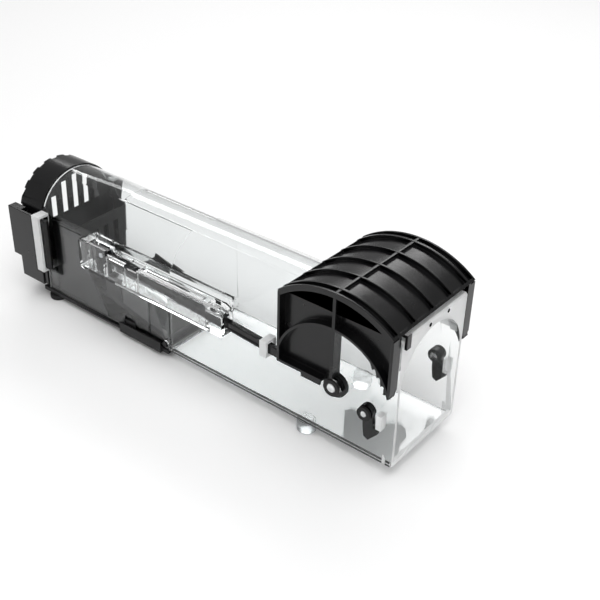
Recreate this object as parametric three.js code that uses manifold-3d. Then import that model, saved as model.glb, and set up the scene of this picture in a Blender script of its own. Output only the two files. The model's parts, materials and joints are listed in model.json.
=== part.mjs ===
// Live catch trap: a clear arched tube with a black drop hood at the entrance, a treadle and
// trigger rod that release it, a black base tray, and a draw-out rear cap with a bait holder.
// Millimetres. X runs from the rear cap to the entrance, Y across the trap, Z up.
// While drawing, X = 0 is the face of the entrance plate, Y = 0 the middle of the tube and
// Z = 0 the lower edge of the tube. The last lines move the origin to the middle of the footprint.
import * as THREE from 'three';
import { mergeVertices } from 'three/addons/utils/BufferGeometryUtils.js';
import Module from 'manifold-3d';

const wasm = await Module();
wasm.setup();

// ---- driving dimensions ----
const gap = 0.4; // between pieces that are fixed to each other
const running = 0.6; // between pieces that move past each other

const tubeLength = 290; // entrance face to the rear edge of the tube
const tubeWidth = 62.8;
const tubeHeight = 81.4; // lower edge to crown
const tubeWall = 1.6;
const footHeight = 7.5;
const footRadius = 6;

const frameDepth = 13; // entrance frame
const frameLip = 0.6; // how far the frame stands out of the tube sides
const frameRise = 3.2; // how far the frame stands above the crown
const plateThick = 2;
const frameWall = 2;
const sillHeight = 3;

const capLength = 21.7;
const capLip = 1.1; // how far the cap stands out of the tube
const capWall = 2;
const panelThick = 1.2; // the slotted panel at the front of the cap
const spigotLength = 7;
const slotPitch = 9.4;
const slotWidth = 4.4;

const doorPivotBack = 38.5; // behind the entrance face
const doorPivotDrop = 9.5; // hood pivot below the spring line of the arch
const hoodOverhang = 8; // hood rims outside the tube sides, beyond the frame lip
const hoodSkin = 1.3;
const hoodRib = 2.2;
const ribThick = 1.4;
const webThick = 1.8;
const flangeThick = 1.8;
const bossRadius = 4.6;
const hubWall = 2.8;

const pawlBack = frameDepth + 3.2;
const pawlDrop = 6.5; // pawl pivot below the hood pivot
const pawlBossRadius = 2.6;
const pawlHubRadius = 4.6;

const pedalPinBack = tubeLength - 113.7;
const leverBack = pedalPinBack + 45.7; // link pin when set

const railBack = leverBack + 18.7; // rear end of the rod housing
const railFront = 117;
const railReach = 10.6; // how far the housing stands out of the tube side
const railWall = 1.6;
const railRoof = 1.2;

const rodTall = 5.6;
const rodWide = 3.6;
const rodOut = railReach - railWall - 3.4; // rod centre line outside the tube side
const rodDrop = 0.0698; // fall of the rod toward the entrance, per millimetre
const rodStroke = 9.8;

const trayFront = pedalPinBack - 2.7;
const trayRear = tubeLength + 6;
const trayThick = 3.2;

const pedalPinHeight = 3.2;
const pedalPinRadius = 1.9;
const pedalHubWall = 0.9;
const pedalLength = 65;
const pedalThick = 1.8;
const pedalTilt = 12 * (Math.PI / 180); // rise of the treadle when the trap is set
const linkRadius = 1.8;

const baitRear = tubeLength - 0.6;
const baitFront = Math.max(tubeLength - 38, pedalPinBack + pedalLength + running);
const baitPartition = tubeLength - 17;
const baitWall = 1.5;

const loopWidth = 6.5; // belt loops that the clips run through
const loopBack = tubeLength - loopWidth; // front face of the loops
const loopBottom = 18.3;
const loopBar = 1.8;
const clipThick = 2.1;
const clipRear = tubeLength + 24.5;
const clipStepHeight = 22.9; // the rear of a clip is cut away below this
const clipFoot = 8.3;
const clipStepBack = tubeLength + 17;
const clipHingeBack = tubeLength + 16;

// ---- sizes that follow ----
const tubeHalf = tubeWidth / 2;
const tubeInner = tubeHalf - tubeWall;
const springLine = tubeHeight - tubeHalf;
const doorPivotHeight = springLine - doorPivotDrop;
const leverHeight = springLine + 5;
const railBottom = springLine - 10;
const railTop = springLine + 11.4; // over the rear of the housing
const railLowTop = railTop - 3.4; // over the rest of it
const baitHeight = springLine + 5;
const slotFoot = springLine + 0.6;
const loopTop = springLine + 10.2;
const clipTop = springLine + 9.5;
const frameHalf = tubeHalf + frameLip;
const frameTop = tubeHeight + frameRise;
const hoodHalf = frameHalf + hoodOverhang;
const webInner = frameHalf + 1;
const webOuter = webInner + webThick;
const pivot = { x: -doorPivotBack, z: doorPivotHeight };
const pawlPivot = { x: -pawlBack, z: doorPivotHeight - pawlDrop };
const frameChamfer = 1.2;
const frameCorner = Math.max(
  Math.hypot(doorPivotBack, frameTop - frameChamfer - doorPivotHeight),
  Math.hypot(doorPivotBack - frameChamfer, frameTop - doorPivotHeight),
);
const skinInner = frameCorner + running;
const skinOuter = skinInner + hoodSkin;
const hoodRadius = skinOuter + hoodRib;
const hoodHalfLength = doorPivotBack - 0.3; // hood ends the same distance ahead of the pivot as behind
const railOuter = tubeHalf + railReach;
const rodY = -(tubeHalf + rodOut);
const rodZ = (x) => leverHeight + 0.1 - (x + leverBack) * rodDrop;
const rodSlope = Math.atan(rodDrop);
const loopOuter = hoodHalf;
const loopInner = loopOuter - loopBar;
const capHalf = tubeHalf + capLip;
const capRear = tubeLength + gap + capLength;
const pedalHub = pedalPinRadius + running / 2 + pedalHubWall;

// ---- drawing helpers ----
function solid(geometry) {
  const plain = geometry.index ? geometry.clone() : geometry;
  plain.deleteAttribute('normal');
  plain.deleteAttribute('uv');
  const merged = mergeVertices(plain, 1e-4);
  return new wasm.Manifold(new wasm.Mesh({
    numProp: 3,
    vertProperties: new Float32Array(merged.attributes.position.array),
    triVerts: new Uint32Array(merged.index.array),
  }));
}

function box(x0, x1, y0, y1, z0, z1) {
  const block = new THREE.BoxGeometry(x1 - x0, y1 - y0, z1 - z0);
  return solid(block.translate((x0 + x1) / 2, (y0 + y1) / 2, (z0 + z1) / 2));
}

// A prism of an outline in Y and Z, from x0 to x1.
function alongX(outline, x0, x1, curveSegments = 24) {
  const prism = new THREE.ExtrudeGeometry(outline, { depth: x1 - x0, bevelEnabled: false, curveSegments });
  const turn = new THREE.Matrix4().makeBasis(
    new THREE.Vector3(0, 1, 0), new THREE.Vector3(0, 0, 1), new THREE.Vector3(1, 0, 0));
  return solid(prism.applyMatrix4(turn).translate(x0, 0, 0));
}

// A prism of an outline in X and Z, from y0 to y1.
function alongY(outline, y0, y1, curveSegments = 24) {
  const prism = new THREE.ExtrudeGeometry(outline, { depth: y1 - y0, bevelEnabled: false, curveSegments });
  const turn = new THREE.Matrix4().makeBasis(
    new THREE.Vector3(1, 0, 0), new THREE.Vector3(0, 0, 1), new THREE.Vector3(0, -1, 0));
  return solid(prism.applyMatrix4(turn).translate(0, y1, 0));
}

function roundY(x, z, radius, y0, y1, sides = 32) {
  const bar = new THREE.CylinderGeometry(radius, radius, y1 - y0, sides);
  return solid(bar.translate(x, (y0 + y1) / 2, z));
}

function roundZ(x, y, radius, z0, z1, sides = 32) {
  const bar = new THREE.CylinderGeometry(radius, radius, z1 - z0, sides);
  return solid(bar.rotateX(Math.PI / 2).translate(x, y, (z0 + z1) / 2));
}

function polygon(points) {
  return new THREE.Shape(points.map(([u, v]) => new THREE.Vector2(u, v)));
}

// The arched section: flat sides up to the spring line, then a half circle.
function arch(half, bottom, spring = springLine) {
  const outline = new THREE.Shape();
  outline.moveTo(-half, bottom);
  outline.lineTo(half, bottom);
  outline.lineTo(half, spring);
  outline.absarc(0, spring, half, 0, Math.PI, false);
  return outline;
}

// A slice of a ring about a pivot, from one angle to another, angles up from the +X direction.
function ringSlice(centre, inner, outer, from, to) {
  const outline = new THREE.Shape();
  outline.absarc(centre.x, centre.z, outer, from, to, false);
  outline.absarc(centre.x, centre.z, inner, to, from, true);
  return outline;
}

function join(parts) {
  return parts.reduce((whole, part) => whole.add(part));
}

function mirrorY(part) {
  return part.mirror([0, 1, 0]);
}

// ---- finishes ----
const clearPlastic = new THREE.MeshStandardMaterial({ color: 0xe4e8ea, roughness: 0.08, metalness: 0 });
const blackPlastic = new THREE.MeshStandardMaterial({ color: 0x141415, roughness: 0.28, metalness: 0 });
const blackRubber = new THREE.MeshStandardMaterial({ color: 0x101011, roughness: 0.7, metalness: 0 });
const steel = new THREE.MeshStandardMaterial({ color: 0xb9bcc0, roughness: 0.3, metalness: 1 });

const trap = new THREE.Group();

function addMesh(name, part, finish) {
  const { vertProperties, triVerts } = part.getMesh();
  const geometry = new THREE.BufferGeometry();
  geometry.setAttribute('position', new THREE.BufferAttribute(new Float32Array(vertProperties), 3));
  geometry.setIndex(new THREE.BufferAttribute(new Uint32Array(triVerts), 1));
  geometry.computeVertexNormals();
  const mesh = new THREE.Mesh(geometry, finish.clone());
  mesh.name = name;
  trap.add(mesh);
}

// ---- clear tube with its entrance frame, rod housing, guide, loops and bosses ----
const stepBack = pedalPinBack - 7.3; // the front of the tube is a shade larger than the rear
const stepHeight = 0.6;
const crownStripHalf = 10.5;
const crownStripRise = 0.8;
const windowBack = [leverBack - 8.5, leverBack - 18.5]; // snap windows in the lower wall
const windowTop = 9;

function entranceFrame() {
  const outside = polygon([[0, 0], [0, frameTop - frameChamfer], [-frameChamfer, frameTop],
    [-frameDepth, frameTop], [-frameDepth, 0]]);
  const inside = frameHalf - frameWall;
  const hollow = box(-frameDepth - 1, -plateThick, -inside, inside, -1, frameTop - frameWall);
  const notchHeight = 3.6;
  const notchRadius = 3.2;
  const notchX = -frameDepth * 0.58;
  const notch = roundY(notchX, notchHeight, notchRadius, -frameHalf - 1, frameHalf + 1, 24)
    .add(box(notchX - notchRadius, notchX + notchRadius, -frameHalf - 1, frameHalf + 1, -1, notchHeight));
  const holeRadius = 1.3;
  const holeDrop = 2.5; // below the top of the frame
  const holes = [-5.4, 12.7].map((y) => roundZ(0, 0, holeRadius, -1, plateThick + 1, 16)
    .rotate([0, 90, 0]).translate([-plateThick, y, frameTop - holeDrop]));
  const opening = alongX(arch(tubeInner, sillHeight), -plateThick - 1, 1, 40);
  return alongY(outside, -frameHalf, frameHalf).subtract(hollow).subtract(notch)
    .subtract(opening).subtract(join(holes));
}

function tubeWalls() {
  const outer = alongX(arch(tubeHalf, 0), -tubeLength, -plateThick, 40);
  const larger = alongX(arch(tubeHalf + stepHeight, 0, springLine), -stepBack, -frameDepth / 2, 40);
  const stripTop = tubeHeight + crownStripRise;
  const strip = box(-tubeLength + 60, -frameDepth / 2, -crownStripHalf, crownStripHalf,
    tubeHeight - 4, stripTop);
  const stripRound = alongX(arch(tubeHalf + crownStripRise, 0), -tubeLength, 0, 40);
  const hollow = alongX(arch(tubeInner, -1), -tubeLength - 1, -plateThick + 0.01, 40);
  return outer.add(larger).add(strip.intersect(stripRound)).subtract(hollow);
}

function edgeLip(side) {
  const lipHeight = 3.4;
  const lip = box(-pedalPinBack + 6, -frameDepth / 2, tubeHalf - 1, frameHalf, 0, lipHeight);
  return side > 0 ? lip : mirrorY(lip);
}

const railRoofBack = leverBack + 9; // the housing is roofed behind this and open ahead of it
const railStepBack = leverBack - 6.5; // its top steps down ahead of this
const railNotchBack = leverBack - 23.6; // rear of the notch in its top
const railPostBack = leverBack - 34.7; // front of that notch
const railBlock = 13.5; // solid nose at the front of the housing
const rodClear = running + 0.1;

function railBody() {
  const lowRound = 3;
  const topRound = 1.5;
  const noseSlope = 4;
  const outline = new THREE.Shape();
  outline.absarc(-railBack + lowRound, railBottom + lowRound, lowRound, Math.PI, 1.5 * Math.PI, false);
  outline.lineTo(-railFront, railBottom);
  outline.lineTo(-railFront, railLowTop - noseSlope / 2);
  outline.lineTo(-railFront - noseSlope, railLowTop);
  outline.lineTo(-railStepBack, railLowTop);
  outline.lineTo(-railStepBack, railTop);
  outline.absarc(-railBack + topRound, railTop - topRound, topRound, Math.PI / 2, Math.PI, false);
  return alongY(outline, -railOuter, -(tubeHalf - 0.5), 8);
}

// The room inside the housing, and the openings in its top.
function railHollows() {
  const y0 = -railOuter + railWall;
  const foot = railBottom + railWall;
  const blockRear = -railFront - railBlock;
  const above = railTop + 1;
  const rear = -railBack + railWall;
  const channel = box(rear, blockRear, y0, -tubeHalf, foot, railLowTop - railWall);
  const underRoof = box(rear, -railRoofBack, y0, -tubeHalf, foot, railTop - railRoof);
  const mouth = box(-railRoofBack - 1, -railStepBack, y0, -tubeHalf, foot, above);
  const slotHalf = rodWide / 2 + rodClear;
  const slot = box(-railStepBack - 1, -railPostBack, rodY - slotHalf, rodY + slotHalf, foot, above);
  const notch = box(-railNotchBack, -railPostBack, -railOuter - 1, -tubeHalf - 2, railLowTop - 2.2, above);
  const frontSlotHalf = 1.6;
  const frontSlot = box(-railPostBack + 3, blockRear - 4, rodY - frontSlotHalf, rodY + frontSlotHalf,
    foot, above);
  return join([channel, underRoof, mouth, slot, notch, frontSlot]);
}

function rodHousing() {
  const bore = box(-railFront - railBlock - 1, -railFront + 1,
    rodY - rodWide / 2 - rodClear, rodY + rodWide / 2 + rodClear,
    rodZ(-railFront) - rodTall / 2 - rodClear, rodZ(-railFront - railBlock) + rodTall / 2 + rodClear);
  const holeRadius = 0.9;
  const holeDepth = 5;
  const noseHoles = join([-2.4, 0.8].map((shift) => roundZ(0, 0, holeRadius, 0, holeDepth + 1, 12)
    .rotate([0, 90, 0]).translate([-railFront - holeDepth, rodY + shift, railLowTop - 3.4])));
  // upright ribs on the inside of the outer wall, and the fin along the tube
  const ribDeep = 0.7;
  const ribHalf = 0.6;
  const ribBacks = [railBack - 8.1, railStepBack + ribHalf, railNotchBack + 1.2, railPostBack + ribHalf];
  const ribs = ribBacks.map((back) => box(-back - ribHalf, -back + ribHalf,
    -railOuter + 0.5, -railOuter + railWall + ribDeep, railBottom + 1, railLowTop - 2.4));
  const fin = box(-railBack + 4, -railFront, -tubeHalf - 0.9, -tubeHalf + 1.1, railTop - 6, railTop + 1.6);
  return railBody().subtract(railHollows()).add(join(ribs)).add(fin).subtract(bore).subtract(noseHoles);
}

// The slot in the tube wall that the link pin passes through, inside the housing.
function linkSlot() {
  const margin = linkRadius + 1.2;
  const pinFall = 11; // the link pin drops less than this as the treadle goes down
  return box(-leverBack - rodStroke - margin, -leverBack + margin, -tubeHalf - 2, -tubeInner + 1,
    leverHeight - pinFall - margin, leverHeight + margin);
}

function rodGuide() {
  const guideBack = 2 * doorPivotBack + 6.5;
  const guideLength = 5;
  const outer = rodY - rodWide / 2 - rodClear;
  const foot = rodZ(-guideBack) - rodTall / 2 - rodClear;
  const top = rodZ(-guideBack - guideLength) + rodTall / 2 + rodClear;
  const hole = box(-guideBack - guideLength - 1, -guideBack + 1,
    outer, rodY + rodWide / 2 + rodClear, foot, top);
  const block = box(-guideBack - guideLength, -guideBack, outer - railWall, -tubeHalf + 0.5,
    foot - railWall, top + railWall);
  return block.subtract(hole);
}

function beltLoop(side) {
  const leg = 1.8;
  const block = box(-loopBack - loopWidth, -loopBack, tubeHalf - 0.5, loopOuter, loopBottom, loopTop);
  const passage = box(-loopBack - loopWidth - 1, -loopBack + 1, tubeHalf, loopInner,
    loopBottom + leg, loopTop - leg);
  const loop = block.subtract(passage);
  return side > 0 ? loop : mirrorY(loop);
}

const capRing = 1.6; // thickness of the retaining rings
const stubRadius = 2.6;
const pawlStubRadius = 1.7;
const bossEnd = hoodHalf - 0.6; // the bosses stop just inside the hood's width

function pivotBosses(side) {
  const shoulder = bossEnd - capRing - gap;
  const boss = roundY(pivot.x, pivot.z, bossRadius, tubeHalf - 1, shoulder)
    .add(roundY(pivot.x, pivot.z, stubRadius, shoulder - 1, bossEnd, 24))
    .add(roundY(pawlPivot.x, pawlPivot.z, pawlBossRadius, tubeHalf - 1, shoulder, 24))
    .add(roundY(pawlPivot.x, pawlPivot.z, pawlStubRadius, shoulder - 1, bossEnd, 24));
  return side > 0 ? boss : mirrorY(boss);
}

const stopBack = 9.2; // rear face of the block that stops the pawl swinging forward
const stopTop = pawlPivot.z + 1.4;
const stopBottom = pawlPivot.z - 8;

function pawlStop(side) {
  const block = box(-stopBack, -stopBack + 3.4, tubeHalf - 1, hoodHalf - 3, stopBottom, stopTop);
  return side > 0 ? block : mirrorY(block);
}

function wallRibs() {
  const ribHeight = railBottom + 1;
  const ribHalf = 0.7;
  const backs = [pedalPinBack - 4.3, pedalPinBack + 13.7];
  return join(backs.map((back) => box(-back - ribHalf, -back + ribHalf,
    -tubeHalf - 0.4, -tubeHalf + 0.5, 0, ribHeight)));
}

function snapWindows() {
  return box(-windowBack[0], -windowBack[1], -tubeHalf - 1, tubeHalf + 1, -1, windowTop);
}

function clearTube() {
  const sides = [-1, 1].flatMap((side) => [edgeLip(side), beltLoop(side), pivotBosses(side),
    pawlStop(side)]);
  const pinHole = roundY(-pedalPinBack, pedalPinHeight, pedalPinRadius + gap, -tubeHalf - 2,
    tubeHalf + 2, 24);
  return join([tubeWalls(), entranceFrame(), ...sides, rodHousing(), rodGuide(), wallRibs()])
    .subtract(linkSlot()).subtract(snapWindows()).subtract(pinHole);
}

addMesh('clear_tube', clearTube(), clearPlastic);

// ---- clear floor of the front half ----
const floorThick = 1.8;
const floorHalf = tubeInner - gap;
addMesh('clear_floor', box(-pedalPinBack + pedalHub + running, -plateThick - gap, -floorHalf, floorHalf, 0.2,
  0.2 + floorThick), clearPlastic);

// ---- black base tray under the rear half ----
const trayTop = -gap;
const trayBottom = trayTop - trayThick;

const sideRoom = 1.4; // the thickness of the cheek beside the treadle

function baseTray() {
  const plate = box(-trayRear, -trayFront, -frameHalf, frameHalf, trayBottom, trayTop);
  const lug = box(-windowBack[0] + gap, -windowBack[1] - gap, tubeInner - gap - 1, tubeHalf + 0.2,
    trayTop - 1, windowTop - 2.4);
  // a skirt outside the tube wall, from the snap windows forward to the treadle pin
  const skirtHeight = 3.5;
  const skirtInner = tubeHalf + gap + gap;
  const skirtOuter = skirtInner + 1.3;
  const skirtRear = -windowBack[0] - 4;
  const skirtFront = -pedalPinBack - pedalPinRadius - 1;
  const skirt = box(skirtRear, skirtFront, skirtInner, skirtOuter, trayBottom, skirtHeight);
  const ledge = box(skirtRear, skirtFront, frameHalf - 2, skirtOuter, trayBottom - 0.8, trayTop - 0.2);
  const side = join([lug, skirt, ledge]);
  const cheekTop = 31;
  const cheekRear = -baitFront + gap;
  const cheek = alongY(polygon([[cheekRear, trayTop - 1], [cheekRear + 18.6, trayTop - 1],
    [cheekRear + 18.6, skirtHeight], [cheekRear + 2.6, cheekTop], [cheekRear, cheekTop]]),
  tubeInner - gap - sideRoom, tubeInner - gap);
  return join([plate, side, mirrorY(side), mirrorY(cheek)]);
}

addMesh('base_tray', baseTray(), blackPlastic);

// ---- feet ----
const footY = tubeHalf - 3.4;
const footBacks = { front: 62.5, rear: tubeLength - 4 };
for (const [place, back] of Object.entries(footBacks)) {
  for (const [hand, side] of [['near', -1], ['far', 1]]) {
    const top = place === 'front' ? -gap : trayBottom - gap;
    const pad = roundZ(-back, side * footY, footRadius, -footHeight, top, 28);
    const post = roundZ(-back, side * footY, footRadius - 1.4, top - 1, top + 0.1, 28);
    addMesh(`foot_${place}_${hand}`, pad.add(post), place === 'front' ? clearPlastic : blackRubber);
  }
}

// ---- rear cap with its slotted panel ----
function rearCap() {
  const capBottom = trayTop + 2.9;
  const frontFace = -tubeLength - gap;
  const outer = alongX(arch(capHalf, capBottom), -capRear, frontFace, 32);
  const hollow = alongX(arch(capHalf - capWall, capBottom + capWall), -capRear - 1, frontFace - panelThick, 32);
  const spigotHalf = tubeInner - running;
  const spigot = alongX(arch(spigotHalf, capBottom), frontFace - 1, frontFace + spigotLength, 32)
    .subtract(alongX(arch(spigotHalf - capWall, capBottom + capWall), frontFace - 1.5,
      frontFace + spigotLength + 1, 32));
  // over the slots the spigot is only a short lip
  const lip = 0.6;
  const spigotCut = box(frontFace + lip, frontFace + spigotLength + 1, -tubeHalf, tubeHalf,
    springLine - 6, tubeHeight);
  const slots = [];
  const slotArc = spigotHalf - capWall - 1;
  for (let index = -2; index <= 2; index += 1) {
    const y = index * slotPitch;
    const top = springLine + Math.sqrt(slotArc ** 2 - (Math.abs(y) + slotWidth / 2) ** 2);
    slots.push(box(frontFace - panelThick - 1, frontFace + 1, y - slotWidth / 2, y + slotWidth / 2,
      slotFoot, top));
  }
  // grip notches around the rear edge of the arch
  const steps = [];
  const stepCount = 9;
  const notchDepth = 2.4;
  const notchHalf = 2.6;
  for (let index = 0; index < stepCount; index += 1) {
    const angle = Math.PI * ((index + 0.5) / stepCount);
    const notch = box(-2, notchDepth, -notchHalf, notchHalf, -capWall * 0.6, 3)
      .rotate([90 - THREE.MathUtils.radToDeg(angle), 0, 0]);
    steps.push(notch.translate([-capRear, -Math.cos(angle) * capHalf,
      springLine + Math.sin(angle) * capHalf]));
  }
  const lug = box(-clipHingeBack - 1.2, -clipHingeBack + 1.2, capHalf - 0.5, loopOuter - clipThick - gap,
    clipStepHeight + 2, clipTop - 2);
  return outer.subtract(hollow).add(spigot.subtract(spigotCut)).add(lug).add(mirrorY(lug))
    .subtract(join(slots)).subtract(join(steps));
}

addMesh('rear_cap', rearCap(), blackPlastic);

// ---- bait holder that draws out with the cap ----
function baitHolder() {
  const half = tubeInner - running - 0.8;
  const floorTop = trayTop + running + baitWall;
  const rear = -baitRear + spigotLength;
  const corner = 6;
  const cheek = alongY(polygon([[rear, floorTop - baitWall], [-baitFront, floorTop - baitWall],
    [-baitFront, baitHeight - corner], [-baitFront - corner, baitHeight], [rear, baitHeight]]),
  half - baitWall, half);
  // the far cheek is shorter and is notched below its front corner
  const farFront = rear + 10.4;
  const farCheek = alongY(polygon([[rear, floorTop - baitWall], [-baitFront, floorTop - baitWall],
    [-baitFront, floorTop + 3], [rear + 5.4, springLine - 36], [rear + 1, springLine - 25],
    [farFront, springLine - 22.5], [farFront, baitHeight - corner], [farFront - corner, baitHeight],
    [rear, baitHeight]]), half - baitWall, half);
  const floor = box(rear, -baitFront, -half, half, floorTop - baitWall, floorTop);
  const panel = box(-baitPartition, -baitPartition + baitWall, -half, half, floorTop - baitWall,
    baitHeight - 8);
  const windows = [-2, -1, 0, 1, 2].map((index) => box(-baitPartition - 1, -baitPartition + baitWall + 1,
    index * slotPitch - slotWidth / 2, index * slotPitch + slotWidth / 2, 10, baitHeight - 16));
  return join([floor, farCheek, mirrorY(cheek), panel]).subtract(join(windows));
}

addMesh('bait_holder', baitHolder(), blackPlastic);

// ---- squeeze clips on both sides of the cap ----

function clip(side) {
  const plateFront = -loopBack - loopWidth - running;
  const outer = loopOuter;
  const inner = outer - clipThick;
  const face = alongY(polygon([[-clipRear, clipStepHeight], [-clipStepBack, clipStepHeight],
    [-clipStepBack, clipFoot], [-loopBack - 1.5, clipFoot], [-loopBack - 1.5, loopBottom - running],
    [plateFront, loopBottom - running], [plateFront, clipTop], [-clipRear, clipTop]]), inner, outer);
  const tongueOuter = loopInner - gap;
  const tongueFoot = loopBottom + 2.8;
  const tongueTop = loopTop - 2.8;
  const tongue = box(plateFront - 3, -loopBack + 3, tongueOuter - clipThick + 0.4, tongueOuter,
    tongueFoot, tongueTop);
  const noseRadius = 1.9;
  const nose = roundZ(-loopBack + 0.7 + noseRadius, tongueOuter - noseRadius, noseRadius, tongueFoot - 0.4,
    tongueTop + 0.4, 20);
  const bridge = box(plateFront - 3, plateFront, tongueOuter - clipThick + 0.4, inner + 0.5,
    tongueFoot, tongueTop);
  const returnInner = capHalf + 1;
  const returns = join([[clipTop - 1.6, clipTop], [clipStepHeight, clipStepHeight + 1.6]]
    .map(([low, high]) => box(-clipRear, -clipStepBack + 4, returnInner, inner + 0.5, low, high)));
  const rearWall = box(-clipRear, -clipRear + 1.6, returnInner, inner + 0.5, clipStepHeight, clipTop);
  const whole = join([face, tongue, nose, bridge, returns, rearWall]);
  return side > 0 ? whole : mirrorY(whole);
}

addMesh('clip_near', clip(-1), blackPlastic);
addMesh('clip_far', clip(1), blackPlastic);

// ---- drop hood ----
const hoodAngle = Math.acos(hoodHalfLength / hoodRadius); // the arc runs from here to 180 less this
const archFlangeInner = 38.2;
const archFlangeThick = 1.6;
const toothDepth = 1.8;
const armTip = doorPivotHeight + 11;
const midRear = pivot.x - 0.9;
const midFront = midRear + flangeThick + 0.2;
const lowerFlange = doorPivotHeight + 1.2;
const hubRadius = bossRadius + gap + hubWall;

function hoodOutline(inner) {
  const outline = new THREE.Shape();
  const front = pivot.x + hoodHalfLength;
  const rear = pivot.x - hoodHalfLength;
  outline.absarc(pivot.x, pivot.z, inner, hoodAngle, Math.PI - hoodAngle, false);
  return { outline, front, rear };
}

function hoodWeb() {
  const { outline, front, rear } = hoodOutline(hoodRadius);
  outline.lineTo(rear, lowerFlange);
  outline.lineTo(midFront, lowerFlange);
  outline.lineTo(midFront, pivot.z + archFlangeInner);
  const tipAngle = Math.asin((armTip - pivot.z) / archFlangeInner);
  const midAngle = Math.acos((midFront - pivot.x) / archFlangeInner);
  outline.absarc(pivot.x, pivot.z, archFlangeInner, midAngle, tipAngle, true);
  outline.lineTo(front - 1.2, armTip - 0.4);
  outline.lineTo(front, armTip + 4);
  return alongY(outline, webInner, webOuter, 32);
}

function hoodFlanges() {
  const { front, rear } = hoodOutline(hoodRadius);
  const y0 = webOuter - 0.5;
  const rim = alongY(ringSlice(pivot, skinOuter - 0.5, hoodRadius, hoodAngle, Math.PI - hoodAngle),
    hoodHalf - ribThick, hoodHalf, 32);
  const tipAngle = Math.asin((armTip - pivot.z) / archFlangeInner);
  const rearAngle = Math.PI - Math.asin(12.5 / archFlangeInner);
  const archFlange = alongY(ringSlice(pivot, archFlangeInner, archFlangeInner + archFlangeThick, tipAngle,
    rearAngle), y0, hoodHalf, 32);
  const cornerHeight = pivot.z + Math.sin(hoodAngle) * hoodRadius;
  const rearFlange = box(rear, rear + flangeThick, y0, hoodHalf, lowerFlange, cornerHeight - 1);
  const frontFlange = box(front - flangeThick, front, y0, hoodHalf, armTip + 4, cornerHeight - 1);
  const frontTip = alongY(polygon([[front - flangeThick, armTip], [front - 1, armTip],
    [front, armTip + 4], [front - flangeThick, armTip + 4.1]]), y0, hoodHalf);
  const middle = box(midRear, midFront, y0, hoodHalf, pivot.z + hubRadius - 1, pivot.z + skinInner);
  const lowerFront = pivot.x - hubRadius + 1.2;
  const lower = box(rear, lowerFront, y0, hoodHalf, lowerFlange, lowerFlange + flangeThick);
  const tab = box(lowerFront - 14, lowerFront - 0.6, hoodHalf - 1.6, hoodHalf, lowerFlange - 2.4,
    lowerFlange + 0.5);
  return join([rim, archFlange, rearFlange, frontFlange, frontTip, middle, lower, tab, ratchetTeeth()]);
}

// Saw teeth inside the front of the arch flange, for the pawl.
function ratchetTeeth() {
  const outer = archFlangeInner + 0.4;
  const first = 0.36;
  const pitch = 0.135;
  return join([0, 1, 2, 3].map((index) => {
    const low = first + index * pitch;
    const high = low + pitch * 0.96;
    const at = (radius, angle) => [pivot.x + Math.cos(angle) * radius, pivot.z + Math.sin(angle) * radius];
    return alongY(polygon([at(outer, low), at(outer, high), at(archFlangeInner - toothDepth, low)].reverse()),
      hoodHalf - 3.6, hoodHalf);
  }));
}

function hoodHub() {
  const hubLength = 2.8;
  return roundY(pivot.x, pivot.z, hubRadius, webInner, webInner + hubLength, 40);
}

function hood() {
  const skin = alongY(ringSlice(pivot, skinInner, skinOuter, hoodAngle, Math.PI - hoodAngle),
    -hoodHalf, hoodHalf, 32);
  const ribSpacing = 17.5;
  const ribs = [-ribSpacing, 0, ribSpacing].map((y) => alongY(
    ringSlice(pivot, skinOuter - 0.5, hoodRadius, hoodAngle, Math.PI - hoodAngle),
    y - ribThick / 2, y + ribThick / 2, 32));
  const inset = 0.3;
  const barTurn = 1.7 / hoodRadius;
  const crossAngle = Math.PI / 2 - barTurn / 2;
  const bars = [hoodAngle, crossAngle, Math.PI - hoodAngle - barTurn].map((from) => alongY(
    ringSlice(pivot, skinInner + inset, hoodRadius - inset, from, from + barTurn),
    -hoodHalf + inset, hoodHalf - inset, 1));
  const hookTop = pivot.z + Math.sin(hoodAngle) * hoodRadius - 0.4;
  const hook = box(0.5, 2.1, -frameHalf + 1, -frameHalf + 5, hookTop - 9, hookTop)
    .add(box(-1.4, 2.1, -frameHalf + 1, -frameHalf + 5, hookTop - 1.8, hookTop));
  const side = join([hoodWeb(), hoodFlanges(), hoodHub()])
    .subtract(roundY(pivot.x, pivot.z, bossRadius + gap, webInner - 1, hoodHalf + 1, 40));
  return join([skin, ...ribs, ...bars, hook, side, mirrorY(side)]);
}

addMesh('drop_hood', hood(), blackPlastic);

// ---- pawls that lock the hood when it is down ----
function pawl(side) {
  const y0 = webInner;
  const y1 = bossEnd - capRing - gap - 0.5;
  const hub = roundY(pawlPivot.x, pawlPivot.z, pawlHubRadius, y0, y1, 28);
  const plate = alongY(polygon([
    [pawlPivot.x - 2.2, pawlPivot.z], [pawlPivot.x - 1.6, pawlPivot.z - 9.6],
    [pawlPivot.x - 0.6, pawlPivot.z - 16.6], [pawlPivot.x + 2.4, pawlPivot.z - 18.2],
    [pawlPivot.x + 8.2, pawlPivot.z - 11.6], [pawlPivot.x + 8.2, pawlPivot.z - 9],
    [pawlPivot.x + 5.4, pawlPivot.z - 8.2], [pawlPivot.x + 4.2, pawlPivot.z]]), y1 - 2.6, y1);
  const whole = hub.add(plate).subtract(roundY(pawlPivot.x, pawlPivot.z, pawlBossRadius + gap,
    y0 - 1, y1 + 1, 28));
  return side > 0 ? whole : mirrorY(whole);
}

function retainingRing(centre, inner, outer, side) {
  const ring = roundY(centre.x, centre.z, outer, bossEnd - capRing, bossEnd, 32)
    .subtract(roundY(centre.x, centre.z, inner, bossEnd - capRing - 1, bossEnd + 1, 24));
  return side > 0 ? ring : mirrorY(ring);
}

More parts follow.
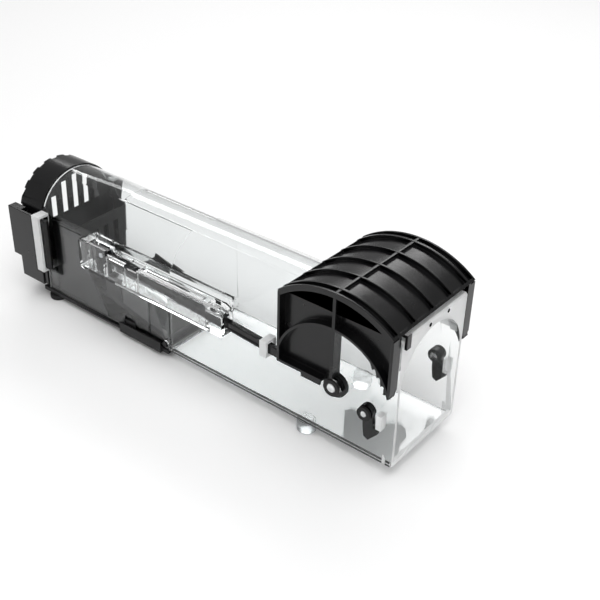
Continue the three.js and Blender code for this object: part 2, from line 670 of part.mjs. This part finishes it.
for (const [hand, side] of [['near', -1], ['far', 1]]) {
  addMesh(`pawl_${hand}`, pawl(side), blackPlastic);
  addMesh(`hood_ring_${hand}`, retainingRing(pivot, stubRadius + 0.3, bossRadius + 0.8, side), blackRubber);
  addMesh(`pawl_ring_${hand}`, retainingRing(pawlPivot, pawlStubRadius + 0.3, pawlHubRadius - 0.2, side),
    blackRubber);
}

// ---- treadle, its pin, its lever and the link pin ----
const pedalHalf = tubeInner - gap - sideRoom - running;
const leverY = -pedalHalf;

function treadle() {
  const pin = { x: -pedalPinBack, z: pedalPinHeight };
  const at = (along, rise) => [
    pin.x - along * Math.cos(pedalTilt) + rise * Math.sin(pedalTilt),
    pin.z + along * Math.sin(pedalTilt) + rise * Math.cos(pedalTilt),
  ];
  const plate = alongY(polygon([at(0, -pedalThick / 2), at(0, pedalThick / 2),
    at(pedalLength, pedalThick / 2), at(pedalLength, -pedalThick / 2)]), -pedalHalf, pedalHalf);
  const sideRail = alongY(polygon([at(4, 0), at(8, 3.4), at(pedalLength, 3.4), at(pedalLength, 0)]),
    pedalHalf - 1.4, pedalHalf);
  const hub = roundY(pin.x, pin.z, pedalHub, -pedalHalf, pedalHalf, 24);
  const leverFoot = { front: 44, rear: 58 }; // along the treadle from its pin
  const lever = alongY(polygon([at(leverFoot.front, 0), [-leverBack + 3.4, leverHeight],
    [-leverBack + 1.4, leverHeight + 3], [-leverBack - 1.4, leverHeight + 3],
    [-leverBack - 3.4, leverHeight], [pin.x - leverFoot.rear, leverHeight * 0.6],
    at(leverFoot.rear, 0)]), leverY, leverY + 2.2);
  const pinBore = roundY(pin.x, pin.z, pedalPinRadius + running / 2, -pedalHalf - 1, pedalHalf + 1, 24);
  const linkBore = roundY(-leverBack, leverHeight, linkRadius + gap, leverY - 1, leverY + 4, 20);
  return join([plate, sideRail, mirrorY(sideRail), hub, lever]).subtract(pinBore).subtract(linkBore);
}

addMesh('treadle', treadle(), blackPlastic);
addMesh('treadle_pin', roundY(-pedalPinBack, pedalPinHeight, pedalPinRadius, -frameHalf - 0.4,
  frameHalf + 0.4, 24), blackPlastic);
addMesh('link_pin', roundY(-leverBack, leverHeight, linkRadius, rodY - rodWide / 2 - 0.4, leverY + 2.6, 20),
  steel);

// ---- trigger rod ----
const forkBack = 5.4; // the fork reaches this far each side of the link pin
const rodTip = pivot.x - hoodHalfLength - gap;

function triggerRod() {
  const groove = { depth: 0.7, edge: 1.5, rear: 6, front: 10 };
  const rear = -leverBack + forkBack;
  const halfLength = (rodTip - rear) / 2;
  const centre = { x: (rodTip + rear) / 2 };
  centre.z = rodZ(centre.x);
  const half = rodWide / 2;
  const bar = box(-halfLength - 2, halfLength, -half, half, -rodTall / 2, rodTall / 2);
  const cut = box(-halfLength + groove.rear, halfLength - groove.front, half - groove.depth, half + 1,
    -rodTall / 2 + groove.edge, rodTall / 2 - groove.edge);
  const slope = THREE.MathUtils.radToDeg(rodSlope);
  const turned = bar.subtract(cut).subtract(mirrorY(cut)).rotate([0, slope, 0])
    .translate([centre.x, rodY, centre.z]);
  const forkFoot = railBottom + railWall + running;
  const forkTop = leverHeight + linkRadius + 2.6;
  const slotHalf = linkRadius + running + 0.1;
  const fork = box(-leverBack - forkBack, -leverBack + forkBack, rodY - half, rodY + half, forkFoot, forkTop)
    .subtract(box(-leverBack - slotHalf, -leverBack + slotHalf, rodY - half - 1, rodY + half + 1,
      forkFoot - 1, leverHeight + linkRadius + running));
  const cleared = turned.subtract(box(-leverBack - forkBack, -leverBack + slotHalf, rodY - half - 1,
    rodY + half + 1, forkFoot, leverHeight + linkRadius + running));
  return cleared.add(fork);
}

addMesh('trigger_rod', triggerRod(), blackPlastic);

// ---- origin at the middle of the footprint, on the surface that the feet stand on ----
const frontmost = 2.1;
trap.position.set((clipRear - frontmost) / 2, (railOuter - hoodHalf) / 2, footHeight);
const object = new THREE.Group();
object.add(trap);
export default object;
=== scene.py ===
import json
import math
import bmesh
import bpy
from mathutils import Matrix, Vector

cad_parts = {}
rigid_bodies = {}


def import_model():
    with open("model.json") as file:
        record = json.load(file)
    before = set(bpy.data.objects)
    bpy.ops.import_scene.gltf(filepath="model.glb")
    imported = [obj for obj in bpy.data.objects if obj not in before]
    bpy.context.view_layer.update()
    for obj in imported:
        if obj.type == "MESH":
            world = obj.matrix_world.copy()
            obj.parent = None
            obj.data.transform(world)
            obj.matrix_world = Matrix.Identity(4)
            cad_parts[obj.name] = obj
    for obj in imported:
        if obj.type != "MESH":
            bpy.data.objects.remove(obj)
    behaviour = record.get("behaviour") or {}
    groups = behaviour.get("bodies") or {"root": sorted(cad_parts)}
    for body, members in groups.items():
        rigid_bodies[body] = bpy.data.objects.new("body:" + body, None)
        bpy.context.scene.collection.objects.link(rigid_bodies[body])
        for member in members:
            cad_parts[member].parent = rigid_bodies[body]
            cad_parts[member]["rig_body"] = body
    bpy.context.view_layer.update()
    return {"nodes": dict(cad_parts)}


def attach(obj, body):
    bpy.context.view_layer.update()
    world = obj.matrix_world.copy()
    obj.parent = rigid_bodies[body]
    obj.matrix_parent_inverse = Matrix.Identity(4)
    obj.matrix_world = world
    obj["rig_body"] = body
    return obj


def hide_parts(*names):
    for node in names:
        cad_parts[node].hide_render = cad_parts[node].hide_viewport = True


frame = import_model()
scene = bpy.context.scene
mm = 0.001
print("frame loaded:", len(frame["nodes"]), "nodes")


def linear(hexColour):
    # the standard sRGB curve, undone
    channels = [int(hexColour[i:i + 2], 16) / 255 for i in (1, 3, 5)]
    return tuple(c / 12.92 if c <= 0.04045 else ((c + 0.055) / 1.055) ** 2.4 for c in channels) + (1,)


def addNode(tree, kind, settings=None, links=None):
    node = tree.nodes.new(kind)
    for name, value in (settings or {}).items():
        if hasattr(node, name) and name not in node.inputs:
            setattr(node, name, value)
        else:
            node.inputs[name].default_value = value
    for name, socket in (links or {}).items():
        tree.links.new(socket, node.inputs[name])
    return node


# octaves of the two noises, and the part of the drift noise that covers the whole roughness range
noiseLook = {"grainDetail": 3.0, "driftDetail": 4.0, "driftFrom": 0.3, "driftTo": 0.7}
colourA, colourB, colourOut = 6, 7, 2  # the Mix node's colour sockets


def mouldedFinish(name, look):
    material = bpy.data.materials.new(name)
    material.use_nodes = True
    tree = material.node_tree
    tree.nodes.clear()
    place = addNode(tree, "ShaderNodeTexCoord").outputs["Object"]
    # grain left by the mould wall, and the slow drift of gloss across a moulding
    grain = addNode(tree, "ShaderNodeTexNoise",
                    {"Scale": 1 / (look["grainMm"] * mm), "Detail": noiseLook["grainDetail"]},
                    {"Vector": place})
    drift = addNode(tree, "ShaderNodeTexNoise",
                    {"Scale": 1 / (look["driftMm"] * mm), "Detail": noiseLook["driftDetail"]},
                    {"Vector": place})
    gloss = addNode(tree, "ShaderNodeMapRange",
                    {"From Min": noiseLook["driftFrom"], "From Max": noiseLook["driftTo"],
                     "To Min": look["roughness"][0], "To Max": look["roughness"][1]},
                    {"Value": drift.outputs["Fac"]})
    tint = addNode(tree, "ShaderNodeMix", {"data_type": "RGBA"}, {"Factor": drift.outputs["Fac"]})
    tint.inputs[colourA].default_value = linear(look["colours"][0])
    tint.inputs[colourB].default_value = linear(look["colours"][1])
    relief = addNode(tree, "ShaderNodeBump", {"Strength": look["bump"], "Distance": look["grainMm"] * mm},
                     {"Height": grain.outputs["Fac"]})
    shader = addNode(tree, "ShaderNodeBsdfPrincipled",
                     {"IOR": look["ior"], "Metallic": look.get("metallic", 0.0),
                      "Specular IOR Level": look.get("specular", 0.5),
                      "Transmission Weight": look.get("transmission", 0.0)},
                     {"Base Color": tint.outputs[colourOut], "Roughness": gloss.outputs["Result"],
                      "Normal": relief.outputs["Normal"]})
    addNode(tree, "ShaderNodeOutputMaterial", {}, {"Surface": shader.outputs["BSDF"]})
    return material


finishes = {
    # crystal polystyrene, moulded against polished steel: clear, with faint flow in its gloss
    "clearPolystyrene": mouldedFinish("clearPolystyrene", {
        "colours": ("#fcfdfd", "#f8fafa"), "roughness": (0.015, 0.05), "ior": 1.4, "transmission": 1.0,
        "grainMm": 14.0, "driftMm": 30.0, "bump": 0.0006}),
    # the same plastic where the mould is textured: frosted, and whiter
    "frostedPolystyrene": mouldedFinish("frostedPolystyrene", {
        "colours": ("#f4f6f6", "#ffffff"), "roughness": (0.3, 0.42), "ior": 1.38, "transmission": 0.42,
        "grainMm": 0.4, "driftMm": 9.0, "bump": 0.05}),
    # rims and small thick features of the same plastic, painted whiter and less clear as a painted
    # highlight for the light they pick up from all round
    "brightRim": mouldedFinish("brightRim", {
        "colours": ("#eef1f2", "#ffffff"), "roughness": (0.16, 0.26), "ior": 1.42, "transmission": 0.5,
        "grainMm": 1.5, "driftMm": 5.0, "bump": 0.02}),
    # thick lugs of the same plastic under the floor: a grey haze
    "hazyPolystyrene": mouldedFinish("hazyPolystyrene", {
        "colours": ("#cdd1d3", "#dfe2e3"), "roughness": (0.12, 0.22), "ior": 1.4, "transmission": 0.85,
        "grainMm": 2.0, "driftMm": 6.0, "bump": 0.01}),
    # black ABS from a polished mould: deep black with sharp, slightly wavy highlights
    "blackAbsGloss": mouldedFinish("blackAbsGloss", {
        "colours": ("#070708", "#0d0d0e"), "roughness": (0.18, 0.28), "ior": 1.52, "specular": 0.34,
        "grainMm": 0.5, "driftMm": 14.0, "bump": 0.04}),
    # black polypropylene with a fine spark-eroded texture: a soft, greyer sheen; also used as painted
    # shade on the walls of two holes in the clear frame
    "blackPolypropylene": mouldedFinish("blackPolypropylene", {
        "colours": ("#0d0d0e", "#151516"), "roughness": (0.36, 0.48), "ior": 1.49, "specular": 0.34,
        "grainMm": 0.45, "driftMm": 10.0, "bump": 0.12}),
    # moulded black rubber: matte, a little bloomed
    "blackRubber": mouldedFinish("blackRubber", {
        "colours": ("#101010", "#1a1a1a"), "roughness": (0.55, 0.7), "ior": 1.52, "specular": 0.3,
        "grainMm": 0.4, "driftMm": 6.0, "bump": 0.2}),
    # drawn steel wire, bright
    "drawnSteel": mouldedFinish("drawnSteel", {
        "colours": ("#b9bcc0", "#c8cacd"), "roughness": (0.22, 0.34), "ior": 1.5, "metallic": 1.0,
        "grainMm": 0.3, "driftMm": 2.0, "bump": 0.08}),
}
print("materials made:", len(finishes))


# one piece for each CAD node: its finish, and the width in mm that its edges are softened by
pieceLooks = {
    "clear_tube": {
        "finish": "clearPolystyrene", "edge": 0,
        # boxes in mm whose faces have another finish
        "zones": [
            ("frostedPolystyrene", (142.9, -60, -1), (157, 60, 100)),  # entrance frame
            ("frostedPolystyrene", (-134.5, -60, 20), (-127, -30.6, 75)),  # near belt loop
            ("frostedPolystyrene", (-134.5, 32.6, 20), (-127, 60, 75)),  # far belt loop
            # the pivot bosses carry the painted highlight, which stands in for the light their collars
            # catch
            ("brightRim", (108, -60, 30), (142.9, -34.6, 60)),  # near pivot bosses
            ("brightRim", (108, 36.6, 30), (142.9, 60, 60)),  # far pivot bosses
            ("frostedPolystyrene", (67, -60, 40), (73.4, -31.2, 70)),  # rod guide
            # walls of the two small holes over the entrance carry the black finish as painted shade, so
            # that the holes can be seen
            ("blackPolypropylene", (153.8, -6, 88), (156.1, -2.8, 91.2)),
            ("blackPolypropylene", (153.8, 12.1, 88), (156.1, 15.3, 91.2)),
        ],
        # edges over this angle and length, inside these boxes, get a narrow rim with the painted
        # highlight finish
        "rim": {"width": 0.45, "shortest": 3.0, "degrees": 50, "finish": "brightRim",
                "zones": [((-85.5, -60, 46), (40, -30.7, 72)),  # rod housing
                          ((-134.6, -60, 20), (-127, 60, 75)),  # belt loops
                          ((155.5, -60, -1), (157, 60, 100))]}},  # entrance face
    "clear_floor": {"finish": "clearPolystyrene", "edge": 0.3},
    "foot_front_near": {"finish": "hazyPolystyrene", "edge": 0.5},
    "foot_front_far": {"finish": "hazyPolystyrene", "edge": 0.5},
    "base_tray": {"finish": "blackPolypropylene", "edge": 0.3},
    "foot_rear_near": {"finish": "blackRubber", "edge": 0.6},
    "foot_rear_far": {"finish": "blackRubber", "edge": 0.6},
    "rear_cap": {"finish": "blackAbsGloss", "edge": 0.3},
    "bait_holder": {"finish": "blackPolypropylene", "edge": 0.25},
    "clip_near": {"finish": "blackAbsGloss", "edge": 0.3},
    "clip_far": {"finish": "blackAbsGloss", "edge": 0.3},
    "drop_hood": {"finish": "blackAbsGloss", "edge": 0.2},
    "hood_ring_near": {"finish": "blackRubber", "edge": 0.3},
    "hood_ring_far": {"finish": "blackRubber", "edge": 0.3},
    "pawl_near": {"finish": "blackAbsGloss", "edge": 0.25},
    "pawl_far": {"finish": "blackAbsGloss", "edge": 0.25},
    "pawl_ring_near": {"finish": "blackRubber", "edge": 0.3},
    "pawl_ring_far": {"finish": "blackRubber", "edge": 0.3},
    "treadle": {"finish": "blackPolypropylene", "edge": 0.3},
    "treadle_pin": {"finish": "blackPolypropylene", "edge": 0.3},
    "link_pin": {"finish": "drawnSteel", "edge": 0.3},
    "trigger_rod": {"finish": "blackAbsGloss", "edge": 0.3},
}

softening = {
    "mergeMm": 0.004,  # the CAD's loose triangles join where corners are this close
    "flatDegrees": 0.6,  # triangles that turn less than this become one flat face
    "bevelDegrees": 35,  # edges sharper than this are rounded
    "bevelSteps": 2,
    "smoothDegrees": 30,  # shading runs smoothly over edges flatter than this
    "largeFaceWeight": 100,  # the largest face at a corner decides its normal
}


def inBox(point, low, high):
    return all(low[axis] * mm <= point[axis] <= high[axis] * mm for axis in range(3))


def applyModifier(piece, kind, settings):
    modifier = piece.modifiers.new(kind.lower(), kind)
    for name, value in settings.items():
        setattr(modifier, name, value)
    bpy.ops.object.modifier_apply(modifier=modifier.name)


def rimBevel(piece, rim, slot):
    mesh = bmesh.new()
    mesh.from_mesh(piece.data)
    weights = mesh.edges.layers.float.new("bevel_weight_edge")
    for edge in mesh.edges:
        sharp = len(edge.link_faces) == 2 and edge.calc_face_angle(0) > math.radians(rim["degrees"])
        middle = (edge.verts[0].co + edge.verts[1].co) / 2
        if sharp and edge.calc_length() > rim["shortest"] * mm:
            edge[weights] = float(any(inBox(middle, low, high) for low, high in rim["zones"]))
    mesh.to_mesh(piece.data)
    mesh.free()
    applyModifier(piece, "BEVEL", {"width": rim["width"] * mm, "segments": softening["bevelSteps"],
                                   "limit_method": "WEIGHT", "material": slot})


def finishPiece(piece, look):
    names = [look["finish"]] + sorted({zone[0] for zone in look.get("zones", [])})
    piece.data.materials.clear()
    for name in names:
        piece.data.materials.append(finishes[name])
    for face in piece.data.polygons:
        for name, low, high in look.get("zones", []):
            if inBox(face.center, low, high):
                face.material_index = names.index(name)
    if "rim" in look:
        rimBevel(piece, look["rim"], names.index(look["rim"]["finish"]))


def softenedPiece(node, look):
    source = frame["nodes"][node]
    bpy.ops.object.select_all(action="DESELECT")
    piece = bpy.data.objects.new(node + "_piece", source.data.copy())
    scene.collection.objects.link(piece)
    piece.select_set(True)
    bpy.context.view_layer.objects.active = piece
    bpy.ops.object.mode_set(mode="EDIT")
    bpy.ops.mesh.select_all(action="SELECT")
    bpy.ops.mesh.remove_doubles(threshold=softening["mergeMm"] * mm)
    bpy.ops.mesh.dissolve_limited(angle_limit=math.radians(softening["flatDegrees"]))
    bpy.ops.object.mode_set(mode="OBJECT")
    finishPiece(piece, look)
    if look["edge"]:
        applyModifier(piece, "BEVEL", {"width": look["edge"] * mm, "segments": softening["bevelSteps"],
                                       "limit_method": "ANGLE",
                                       "angle_limit": math.radians(softening["bevelDegrees"]),
                                       "use_clamp_overlap": False})
    bpy.ops.object.shade_smooth_by_angle(angle=math.radians(softening["smoothDegrees"]))
    # flat walls keep their own normal where they run into a curve
    applyModifier(piece, "WEIGHTED_NORMAL", {"keep_sharp": True, "weight": softening["largeFaceWeight"]})
    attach(piece, source["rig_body"])
    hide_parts(node)


for node, look in pieceLooks.items():
    softenedPiece(node, look)
print("pieces softened:", len(pieceLooks))


# floor sizes are in metres, and it lies a hair lower than the feet, so that they don't share a plane
stageLook = {"floorSize": 6.0, "floorDrop": 0.0002, "floorColour": "#f7f7f7", "floorRoughness": 0.55,
             "skyColour": "#ffffff", "skyStrength": 0.42}

bpy.ops.object.select_all(action="DESELECT")
bpy.ops.mesh.primitive_plane_add(size=stageLook["floorSize"], location=(0, 0, -stageLook["floorDrop"]))
floor = bpy.context.active_object
floor.name = "floor"
floorPaint = bpy.data.materials.new("matteWhitePaint")
floorPaint.use_nodes = True
floorShader = floorPaint.node_tree.nodes["Principled BSDF"]
floorShader.inputs["Base Color"].default_value = linear(stageLook["floorColour"])
floorShader.inputs["Roughness"].default_value = stageLook["floorRoughness"]
floor.data.materials.append(floorPaint)

world = bpy.data.worlds.new("studio")
scene.world = world
world.use_nodes = True
sky = world.node_tree.nodes["Background"]
sky.inputs["Color"].default_value = linear(stageLook["skyColour"])
sky.inputs["Strength"].default_value = stageLook["skyStrength"]

# soft boxes: places and sizes in metres
lights = {
    "overhead": {"at": (0.35, -0.35, 1.5), "aim": (0, 0, 0), "size": (1.6, 1.6), "watts": 19},
    "farStrip": {"at": (-0.5, 1.0, 0.9), "aim": (-0.05, 0, 0.05), "size": (1.6, 0.2), "watts": 6},
    "nearFill": {"at": (0.9, -0.9, 0.5), "aim": (0, 0, 0.05), "size": (0.8, 0.8), "watts": 3},
}
for name, look in lights.items():
    lamp = bpy.data.lights.new(name, "AREA")
    lamp.shape = "RECTANGLE"
    lamp.size, lamp.size_y = look["size"]
    lamp.energy = look["watts"]
    holder = bpy.data.objects.new(name, lamp)
    scene.collection.objects.link(holder)
    holder.location = look["at"]
    holder.rotation_euler = (Vector(look["aim"]) - Vector(look["at"])).to_track_quat("-Z", "Y").to_euler()

# lens in mm, angles in degrees, place and nearest distance in metres
cameraLook = {"lens": 60.47, "azimuth": 37.90, "elevation": 32.38, "roll": 1.67,
              "at": (0.3737, -0.3967, 0.3837), "nearest": 0.01}
turn, rise, roll = (math.radians(cameraLook[angle]) for angle in ("azimuth", "elevation", "roll"))
ahead = Vector((-math.sin(turn) * math.cos(rise), math.cos(turn) * math.cos(rise), -math.sin(rise)))
right = Vector((math.cos(turn), math.sin(turn), 0))
up = right.cross(ahead)
tilted = right * math.cos(roll) + up * math.sin(roll)
tiltedUp = up * math.cos(roll) - right * math.sin(roll)
facing = Matrix((tilted, tiltedUp, -ahead)).transposed().to_4x4()
view = bpy.data.cameras.new("camera")
view.lens = cameraLook["lens"]
view.clip_start = cameraLook["nearest"]
camera = bpy.data.objects.new("camera", view)
scene.collection.objects.link(camera)
camera.matrix_world = Matrix.Translation(cameraLook["at"]) @ facing
scene.camera = camera
scene.view_settings.view_transform = "Standard"
print("stage set")
